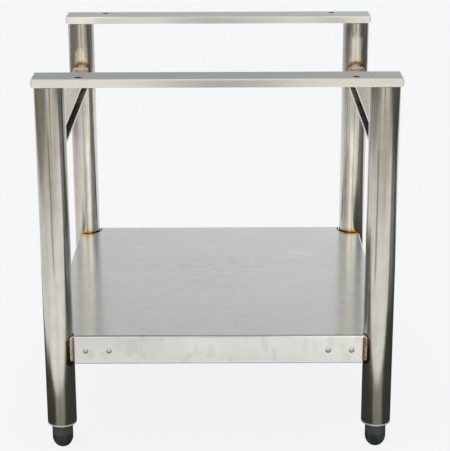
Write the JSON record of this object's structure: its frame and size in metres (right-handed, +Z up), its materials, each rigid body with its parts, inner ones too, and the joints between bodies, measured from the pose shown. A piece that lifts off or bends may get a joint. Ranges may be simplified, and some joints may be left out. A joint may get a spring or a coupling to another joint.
{
  "type": "cooking equipment stand",
  "caption": "Stainless steel stand for countertop cooking equipment: round legs under two drilled top rails, side channels, a folded lower shelf and levelling feet.",
  "frame": {"origin": "on the floor, under the centre of the stand, with the feet screwed in", "axes": "+Z up, -Y towards the front, X along the top rails"},
  "size_m": [0.602, 0.626, 0.66],
  "materials": {
    "leg_steel": "satin stainless steel, drawn lengthwise",
    "rail_steel": "brushed stainless steel",
    "side_steel": "brushed stainless steel",
    "shelf_steel": "fine brushed stainless steel",
    "inner_steel": "mill finish stainless steel",
    "fastener_steel": "plain stainless steel",
    "weld_metal": "heat-tinted weld metal",
    "insert_steel": "zinc-plated steel",
    "stud_steel": "zinc-plated steel",
    "foot_plastic": "moulded nylon"
  },
  "bodies": {
    "stand": {"leg_front_left": "leg_steel", "leg_front_right": "leg_steel", "leg_back_left": "leg_steel", "leg_back_right": "leg_steel", "top_rail_front": "rail_steel", "top_rail_back": "rail_steel", "side_rail_left": "side_steel", "side_rail_right": "side_steel", "shelf_pan": "shelf_steel", "shelf_stiffener": "inner_steel", "shelf_bracket_front_left": "inner_steel", "shelf_bracket_front_right": "inner_steel", "shelf_bracket_back_left": "inner_steel", "shelf_bracket_back_right": "inner_steel", "shelf_screws": "fastener_steel", "shelf_nuts": "fastener_steel", "top_rail_welds": "weld_metal", "side_rail_welds": "weld_metal", "shelf_bracket_welds": "weld_metal", "foot_insert_front_left": "insert_steel", "foot_insert_front_right": "insert_steel", "foot_insert_back_left": "insert_steel", "foot_insert_back_right": "insert_steel"},
    "levelling_foot_front_left": {"foot_front_left": "foot_plastic", "foot_stud_front_left": "stud_steel"},
    "levelling_foot_front_right": {"foot_front_right": "foot_plastic", "foot_stud_front_right": "stud_steel"},
    "levelling_foot_back_left": {"foot_back_left": "foot_plastic", "foot_stud_back_left": "stud_steel"},
    "levelling_foot_back_right": {"foot_back_right": "foot_plastic", "foot_stud_back_right": "stud_steel"}
  },
  "joints": [
    {"name": "foot_height_front_left", "type": "slide", "parent": "stand", "child": "levelling_foot_front_left", "axis": [0, 0, 1], "range_m": [-0.025, 0]},
    {"name": "foot_height_front_right", "type": "slide", "parent": "stand", "child": "levelling_foot_front_right", "axis": [0, 0, 1], "range_m": [-0.025, 0]},
    {"name": "foot_height_back_left", "type": "slide", "parent": "stand", "child": "levelling_foot_back_left", "axis": [0, 0, 1], "range_m": [-0.025, 0]},
    {"name": "foot_height_back_right", "type": "slide", "parent": "stand", "child": "levelling_foot_back_right", "axis": [0, 0, 1], "range_m": [-0.025, 0]}
  ]
}
